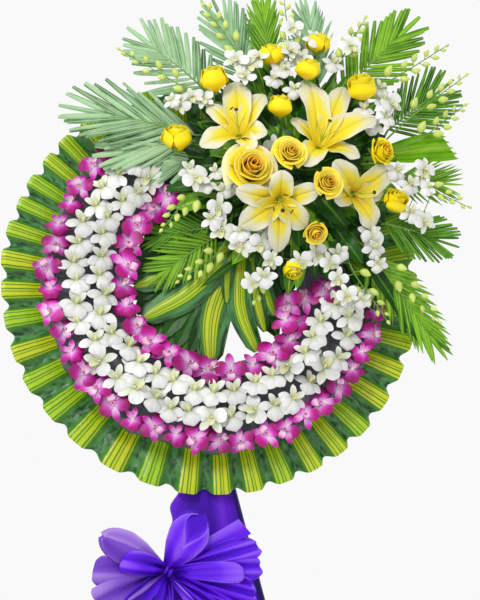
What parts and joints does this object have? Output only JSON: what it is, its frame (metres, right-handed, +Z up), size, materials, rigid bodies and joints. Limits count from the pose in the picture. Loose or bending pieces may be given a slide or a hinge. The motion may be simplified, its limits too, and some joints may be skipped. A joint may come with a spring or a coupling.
{
  "type": "funeral wreath",
  "caption": "Standing funeral wreath: a ring of orchids and pleated leaves with a spray of lilies and roses, on a draped easel with a bow.",
  "frame": {"origin": "centre of the bounding box's bottom face, on the floor", "axes": "+Z up; -Y out of the wreath's face, towards the viewer; +X to the viewer's right"},
  "size_m": [1.0091, 0.6545, 1.6997],
  "materials": {
    "bamboo": "satin",
    "foam_dark": "matte",
    "leaf_stripe": "waxy",
    "palm_pale": "waxy",
    "palm": "waxy",
    "orchid_magenta": "soft",
    "orchid_white": "soft",
    "rose_yellow": "soft",
    "lily_yellow": "soft",
    "cloth_violet": "satin",
    "bow_violet": "sheer"
  },
  "bodies": {
    "root": {"backing_ring": "bamboo", "bow": "bow_violet", "cloth_skirt": "cloth_violet", "easel_head": "bamboo", "foam_block_1": "foam_dark", "foam_block_10": "foam_dark", "foam_block_11": "foam_dark", "foam_block_12": "foam_dark", "foam_block_2": "foam_dark", "foam_block_3": "foam_dark", "foam_block_4": "foam_dark", "foam_block_5": "foam_dark", "foam_block_6": "foam_dark", "foam_block_7": "foam_dark", "foam_block_8": "foam_dark", "foam_block_9": "foam_dark", "leaf_collar": "leaf_stripe", "leg_front_left": "bamboo", "leg_front_right": "bamboo", "leg_rear": "bamboo", "lily_1": "lily_yellow", "lily_2": "lily_yellow", "lily_3": "lily_yellow", "lily_4": "lily_yellow", "orchids_magenta_inner_1": "orchid_magenta", "orchids_magenta_inner_2": "orchid_magenta", "orchids_magenta_inner_3": "orchid_magenta", "orchids_magenta_outer": "orchid_magenta", "orchids_white": "orchid_white", "palm_hole": "palm", "palm_left": "palm_pale", "palm_lower_right": "palm", "palm_right": "palm", "palm_top": "palm", "palm_top_right": "palm", "rail_front": "bamboo", "rose_1": "rose_yellow", "rose_10": "rose_yellow", "rose_11": "rose_yellow", "rose_12": "rose_yellow", "rose_13": "rose_yellow", "rose_14": "rose_yellow", "rose_2": "rose_yellow", "rose_3": "rose_yellow", "rose_4": "rose_yellow", "rose_5": "rose_yellow", "rose_6": "rose_yellow", "rose_7": "rose_yellow", "rose_8": "rose_yellow", "rose_9": "rose_yellow", "spine_pole": "bamboo", "spray_bottom": "orchid_white", "spray_foam": "foam_dark", "spray_lower_left": "orchid_white", "spray_lower_right": "orchid_white", "spray_right": "orchid_white", "spray_top": "orchid_white", "spray_top_right": "orchid_white", "spray_upper_left": "orchid_white", "striped_leaves": "leaf_stripe"}
  },
  "joints": []
}
